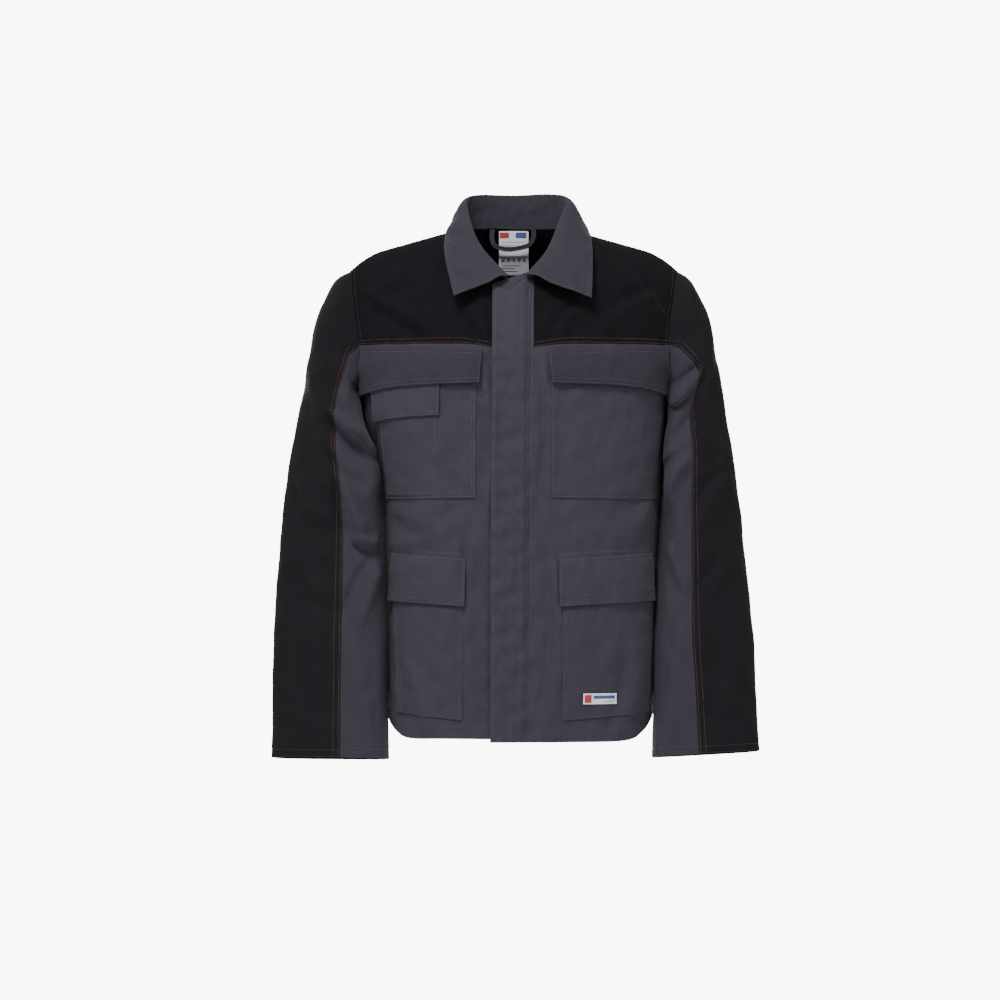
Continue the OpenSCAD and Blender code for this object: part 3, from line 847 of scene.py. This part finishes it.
def collar_stand_patch(u, v, off):
    """The stand, between the fold and the neck seam, a little inside the leaf."""
    s = COLLAR_MID * (1 + mix(-0.985, 0.985, u))
    p = mix(spline(FOLD, s), spline(SEAM, s), v[..., None])
    around = p[..., 0] - p[..., 1] * np.sign(p[..., 0])
    crumple = 1.3 * ripple(around * 0.8, p[..., 2], 24, 53) + 0.5 * ripple(around, p[..., 2], 11, 57)
    return p + collar_out(p) * (off - 0.6 + crumple * np.sin(v * math.pi))[..., None]


collar_rows = [("low", 6, GREY_THREAD)]
# the stand's darker cloth is painted shade inside the neck
panel("collar_stand_cloth", flipped(collar_stand_patch), SHADED_STAND_AND_DARK_FLAP_SLATE, ROOT, ["collar_stand"],
      [("low", 4, GREY_THREAD)], thick=1.2)
BACK_SHARE = 0.4
panel("collar_back_cloth", flipped(collar_leaf(1, -BACK_SHARE, BACK_SHARE)), COLLAR_SLATE, ROOT,
      ["collar_back"], collar_rows, pitch=3.0)
for label, side in SIDES.items():
    leaf = collar_leaf(side, BACK_SHARE, 1.0)
    leaf = flipped(leaf) if side > 0 else leaf
    front_edge = "left" if side > 0 else "right"
    how = (ROOT, f"collar_tip_{label}", *collar_lift(side))
    panel(f"collar_point_{label}_cloth", leaf, COLLAR_SLATE, how, [f"collar_point_{label}"],
          collar_rows + [(front_edge, 6, GREY_THREAD)], pitch=3.0)


# ---------------------------------------- pockets and flaps
# x of the inner and the outer edge
FLAP_X = {"right": (-44, -212), "left": (48, 212)}
POCKET_TOP_X = {"right": (-53, -206), "left": (52, 212)}
POCKET_LOW_X = {"right": (-53, -177), "left": (52, 202)}
LOWER_FLAP_X = {"right": (-67, -170), "left": (62, 192)}
LOWER_POCKET_X = {"right": (-72, -170), "left": (67, 196)}


def front_patch(x_top, x_low, z_top, z_low, off_top, off_low, droop=0.0, share=0.92, puff=0.0):
    """A patch on the front. Each pair is for its two sides, off_top and off_low are its height over the
    body, and it takes a share of the body's folds. Its lower edge can droop and its middle puff up."""
    def func(u, v, off):
        fall = mix(*z_low, u) - droop * np.abs((u - 0.15) / 0.85) ** 4
        z = mix(mix(*z_top, u), fall, v)
        x = mix(mix(*x_top, u), mix(*x_low, u), v)
        full = puff * (np.sin(clip(u) * math.pi) * np.sin(clip(v) * math.pi)) ** 0.6
        return front_at(x, z, mix(off_top, off_low, v) + full + off, share)
    return func


def outward(func, side):
    """The patch with its face outwards, for one whose u runs from the jacket's middle to its side."""
    return func if side > 0 else flipped(func)


both_ends = [("left", 2.2, GREY_THREAD), ("right", 2.2, GREY_THREAD)]
flap_rows = double_rows("low") + both_ends + [("top", 7, GREY_THREAD)]
pocket_rows = double_rows("left", "right", far=7.0) + [("low", 2.2, GREY_THREAD)]
for label, side in SIDES.items():
    inner, outer = FLAP_X[label]
    top = [-YOKE_Z - (7 if side < 0 else 8), -YOKE_Z - 1.5]
    flap = front_patch([inner, outer], [inner + side * 4, outer - side], top, [-222, -227], 4.5, 10.0,
                       droop=14, puff=2.0)
    how = (ROOT, f"chest_cover_{label}", (0, -100, -172), (0, -100, -187))
    panel(f"chest_flap_{label}_cloth", outward(flap, side), WARM_SLATE if side > 0 else SHADED_STAND_AND_DARK_FLAP_SLATE, how,
          [f"chest_flap_{label}"], flap_rows, pitch=3.2)
    pocket = front_patch(POCKET_TOP_X[label], POCKET_LOW_X[label], [-YOKE_Z - 14, -YOKE_Z - 10],
                         [-YOKE_Z - POCKET_H, -YOKE_Z - POCKET_H - 2], 1.6, 2.0, puff=2.2)
    panel(f"chest_pocket_{label}_cloth", outward(pocket, side), SLATE, ROOT, [f"chest_pocket_{label}"],
          pocket_rows, pitch=3.2)
    lower_x = LOWER_FLAP_X[label]
    lower = front_patch(lower_x, lower_x, [-LOWER_FLAP_Z - 7, -LOWER_FLAP_Z + 1], [-533, -526], 3.0, 7.5,
                        puff=2.0)
    how = (ROOT, f"lower_cover_{label}", (0, -100, -468), (0, -100, -483))
    panel(f"lower_flap_{label}_cloth", outward(lower, side), SLATE, how, [f"lower_flap_{label}"], flap_rows,
          pitch=3.2)
    welt = front_patch(lower_x, lower_x, [-LOWER_FLAP_Z + 2, -LOWER_FLAP_Z + 9],
                       [-LOWER_FLAP_Z - 9, -LOWER_FLAP_Z - 1], 0.4, 1.3, share=1.0)
    panel(f"flap_welt_{label}_cloth", outward(welt, side), SLATE, ROOT, [], [("top", 2.5, GREY_THREAD)],
          thick=1.0, pitch=3.2)
    inner, outer = LOWER_POCKET_X[label]
    low_pocket = front_patch([inner, outer], [inner, outer - side * 8],
                             [-LOWER_FLAP_Z - 14, -LOWER_FLAP_Z - 6], [-692, -682], 1.6, 2.0, puff=2.4)
    panel(f"lower_pocket_{label}_cloth", outward(low_pocket, side), SLATE, ROOT, [f"lower_pocket_{label}"],
          pocket_rows, pitch=3.2)

pen_pocket = front_patch([-108, -190], [-108, -173], [-236, -236], [-378, -379], 4.8, 3.9, puff=0.6)
panel("pen_pocket_cloth", flipped(pen_pocket), SLATE, ROOT, ["pen_pocket"],
      [("right", 2.0, GREY_THREAD), ("left", 2.0, GREY_THREAD)], thick=1.0,
      pitch=3.2)
pen_flap = front_patch([-102, -197], [-103, -190], [-222, -226], [-267, -272], 6.2, 8.2, droop=5, puff=0.4)
panel("pen_flap_cloth", flipped(pen_flap), SLATE, (ROOT, "pen_cover", (0, -100, -241), (0, -100, -250)),
      ["pen_flap"], double_rows("low", far=6.5) + both_ends, pitch=3.0)


# ---------------------------------------- storm flap
def storm_top(u):
    """The flap's top edge dips to a point and then rises under the collar's left leaf."""
    return np.where(u < 0.38, mix(-86, -95, smooth(u / 0.38)), mix(-95, -67, (u - 0.38) / 0.62))


def storm_patch(u, v, off):
    """The storm flap: its left edge is sewn down, its free right edge stands off and puckers."""
    z = mix(storm_top(u), -BACK_LEN, v)
    x = mix(mix(STORM_X0, STORM_X1 + 2, u), mix(STORM_X0 - 3, STORM_X1 - 2, u), v)
    edge = 0.35 + 0.65 * smooth((u - 0.5) * 2)
    pucker = 1.2 * np.sin(z / 11 + x / 9 + 1.5 * np.sin(z / 47)) * edge + 1.6 * ripple(x * 1.5, z, 30, 43)
    sewn = smooth((u - 0.74) / 0.2)
    stand = mix(6.0, 0.5, sewn)
    near_top = smooth((-z - 95) / 60)
    pucker = (pucker * near_top + 1.1 * ripple(x, z, 60, 41)) * (1 - 0.85 * sewn)
    return front_at(x, z, stand + pucker + off, mix(0.5, 1.0, sewn))


facing = front_patch([-29, 24], [-29, 24], [-84, -66], [-112, -112], 2.4, 1.2, share=0.276)
panel("front_facing_right_cloth", facing, SLATE, ROOT, [], [("top", 3, GREY_THREAD)], pitch=3.0)
storm_rows = double_rows("right", near=3.5, far=9.5) + double_rows("low", near=2, far=18)
panel("storm_flap_cloth", storm_patch, SLATE, (ROOT, "storm_cover", (27, -140, -400), (14, -140, -400)),
      ["storm_flap"], storm_rows + [("left", 5.5, GREY_THREAD), ("top", 4, GREY_THREAD)], pitch=3.2)


# ---------------------------------------- sleeve panels
def arm_patch(side, t0, t1, black):
    """One half of a sleeve; the grey one runs on under the black one at both seams."""
    def func(u, v, off):
        t = mix(t0, t1, v)
        front = front_seam(side, t)
        if black:
            return arm_at(side, t, turn_of(mix(girth_at(-SEAM_ANGLE), front, u)), off)
        girth = mix(front - GIRTH_LAP, girth_at(360 - SEAM_ANGLE) + GIRTH_LAP, u)
        sunk = 1 - smooth(np.minimum(u, 1 - u) / GIRTH_SINK)
        return arm_at(side, t, turn_of(girth), off - UNDER * sunk)
    return func if side < 0 else flipped(func)


BEND_WAY = np.array([0.5, 0.0, -0.86])


def along_arm(side, x, z, length):
    """The start and end of a joint, down the slope of the sleeve."""
    start = np.array([side * x, 0.0, z])
    return tuple(start), tuple(start + BEND_WAY * np.array([side, 1, 1]) * length)


for label, side in SIDES.items():
    shoulder_blend = (ROOT, f"upper_arm_{label}", *along_arm(side, 245, -222.7, 110))
    elbow_blend = (f"upper_arm_{label}", f"forearm_{label}", *along_arm(side, 252, -368, 120))
    for half, cloth, yarn in (("outer", ARM_COAL, BLACK_THREAD), ("under", ARM_SLATE, GREY_THREAD)):
        black = cloth is ARM_COAL
        seam_rows = double_rows("left", "right", yarn=RED_THREAD, near=2.8, far=9.0) if black else []
        upper, lower = arm_patch(side, 0, ARM_SPLIT, black), arm_patch(side, ARM_SPLIT, ARM_END, black)
        panel(f"sleeve_{label}_upper_{half}", upper, cloth, shoulder_blend,
              [f"upper_{half}_{label}"] + ([f"sleeve_head_{label}"] if black else []),
              seam_rows + [("top", 2.6, yarn)], joined=["low"])
        panel(f"sleeve_{label}_lower_{half}", lower, cloth, elbow_blend,
              [f"forearm_{half}_{label}"] + ([f"elbow_{label}"] if black else []),
              seam_rows + double_rows("low", yarn=yarn, near=1.8, far=15), joined=["top"])


# ---------------------------------------- labels, loop and studs
def flat_patch(x0, x1, z0, z1, y, sag):
    """An upright rectangle at depth y whose middle comes forward by sag."""
    def func(u, v, off):
        x, z = mix(x0, x1, u), mix(z0, z1, v)
        return np.stack([x, y - off - sag * np.sin(u * math.pi), z], -1)
    return func


def plain_label(name, func, material, nodes, thick):
    settle(cloth_piece(name, func, material, thick=thick, pitch=3), ROOT, nodes)


neck = flat_patch(-21, 21, -3, -66, 41.0, sag=1.0)
plain_label("neck_label_cloth", neck, WHITE_LABEL, ["neck_label"], 0.5)
# Printed marks: x from and to, z from and to, ink; the grey block over the lower half of the label is grey
# print, darkened further as painted shade
LABEL_MARKS = [(-20, -4, -5, -13, RED_LABEL), (-2, 18, -5, -13, BLUE_LABEL),
               (-20.5, 20.5, -38, -65.5, GREY_PRINT_AND_SHADE_LABEL)]
LABEL_MARKS += [(-18, end, z, z - 1.3, GREY_LABEL)
                for end, z in ((18, -18), (11, -22.5), (16, -27), (5, -31.5))]
LABEL_MARKS += [(x, x + 5, -42, -47, DARK_LABEL) for x in (-17.5, -10, -2.5, 5, 12.5)]
LABEL_MARKS += [(-17, end, z, z - 1.3, DARK_LABEL) for end, z in ((15, -51.5), (8, -55.5), (12, -59.5))]
for k, (x0, x1, z0, z1, ink) in enumerate(LABEL_MARKS):
    on_grey = 0.3 if ink is DARK_LABEL else 0.0
    mark = flat_patch(x0, x1, z0, z1, 40.3 - on_grey, sag=0.8)
    plain_label(f"neck_label_mark_{k + 1}", mark, ink, [], 0.25)
pocket_mark = front_patch([95, 142], [95, 142], [-654, -654], [-669, -669], 5.6, 5.6)
plain_label("pocket_label_cloth", pocket_mark, WHITE_LABEL, ["pocket_label"], 0.5)
for name, x0, x1, z0, z1, ink in (("emblem", 97, 106, -656, -667, RED_LABEL),
                                  ("bar", 109, 139, -657, -661.5, BLUE_LABEL),
                                  ("rule", 121, 139, -664.5, -666, GREY_LABEL)):
    mark = front_patch([x0, x1], [x0, x1], [z0, z0], [z1, z1], 6.2, 6.2)
    plain_label(f"pocket_label_{name}", mark, ink, [], 0.25)

LOOP = [(-30, 31, -1), (-31, 30, -12), (-26, 28.5, -25), (-5, 28, -29), (20, 28.5, -24), (28, 30, -12),
        (28, 31, -1)]
LOOP_WIDE = 6.5


def loop_patch(u, v, off):
    """The hanger loop: a narrow tape inside the back of the neck."""
    s = v * (len(LOOP) - 1)
    p = spline(LOOP, s)
    way = unit(spline(LOOP, s + 0.02) - spline(LOOP, s - 0.02))
    face = unit(np.cross(way, np.array([0, 1.0, 0])))
    forward = np.array([0, -1.0, 0]) * np.asarray(off)[..., None]
    return p + face * ((u - 0.5) * LOOP_WIDE)[..., None] + forward


panel("hanger_loop_tape", flipped(loop_patch), SLATE, (ROOT, "loop", (0, 30, -1), (0, 30, -8)),
      ["hanger_loop"], [("left", 1.4, GREY_THREAD), ("right", 1.4, GREY_THREAD)], pitch=2.0)

for node_name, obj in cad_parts.items():
    if "stud" in node_name or "socket" in node_name:
        obj.data.materials.clear()
        obj.data.materials.append(STEEL)


# ---------------------------------------- stage, light and camera
def area_light(name, place, target, size, power):
    lamp = bpy.data.lights.new(name, "AREA")
    lamp.size, lamp.energy = size, power
    obj = bpy.data.objects.new(name, lamp)
    obj.location = place
    direction = np.array(target, float) - np.array(place, float)
    yaw = math.atan2(direction[1], direction[0]) - math.pi / 2
    pitch = math.atan2(direction[2], math.hypot(direction[0], direction[1]))
    obj.rotation_euler = (math.pi / 2 + pitch, 0, yaw)
    bpy.context.scene.collection.objects.link(obj)


floor_mesh = bpy.data.meshes.new("floor")
FLOOR_Z = -1.9
floor_corners = [(x, y, FLOOR_Z) for x, y in ((-30, -30), (30, -30), (30, 8), (-30, 8))]
floor_mesh.from_pydata(floor_corners, [], [[0, 1, 2, 3]])
floor = bpy.data.objects.new("floor", floor_mesh)
bpy.context.scene.collection.objects.link(floor)
floor_look = Shading("pale_floor")
set_inputs(floor_look.shader, Base_Color=(0.93, 0.93, 0.93, 1), Roughness=0.95)
floor_mesh.materials.append(floor_look.mat)

# The surroundings: white behind the jacket, dimmer in front, so that the key light shapes the folds
world = bpy.data.worlds.new("studio")
world.use_nodes = True
sky_nodes, sky_links = world.node_tree.nodes, world.node_tree.links
sky_place = sky_nodes.new("ShaderNodeTexCoord")
sky_split = sky_nodes.new("ShaderNodeSeparateXYZ")
sky_links.new(sky_place.outputs["Generated"], sky_split.inputs[0])
sky_power = sky_nodes.new("ShaderNodeMapRange")
set_inputs(sky_power, From_Min=0.80, From_Max=0.97, To_Min=0.33, To_Max=9.0)
sky_links.new(sky_split.outputs["Y"], sky_power.inputs["Value"])
background = sky_nodes["Background"]
set_inputs(background, Color=(1, 1, 1, 1))
sky_links.new(sky_power.outputs["Result"], background.inputs["Strength"])
bpy.context.scene.world = world
area_light("key", (-0.9, -2.7, 3.1), (0, 0, -0.35), 1.2, 192)
area_light("fill_right", (2.9, -2.6, 0.9), (0, 0, -0.4), 1.6, 40)
area_light("fill_left", (-2.9, -2.6, 0.7), (0, 0, -0.4), 1.6, 30)

camera = bpy.data.cameras.new("camera")
camera.sensor_width = 36.0
camera.lens = 203.7
camera.clip_end = 60.0
camera_obj = bpy.data.objects.new("camera", camera)
camera_obj.location = (-0.0196, -8.0, -0.385)
camera_obj.rotation_euler = (math.pi / 2, 0, 0)
bpy.context.scene.collection.objects.link(camera_obj)
bpy.context.scene.camera = camera_obj

bpy.context.view_layer.update()
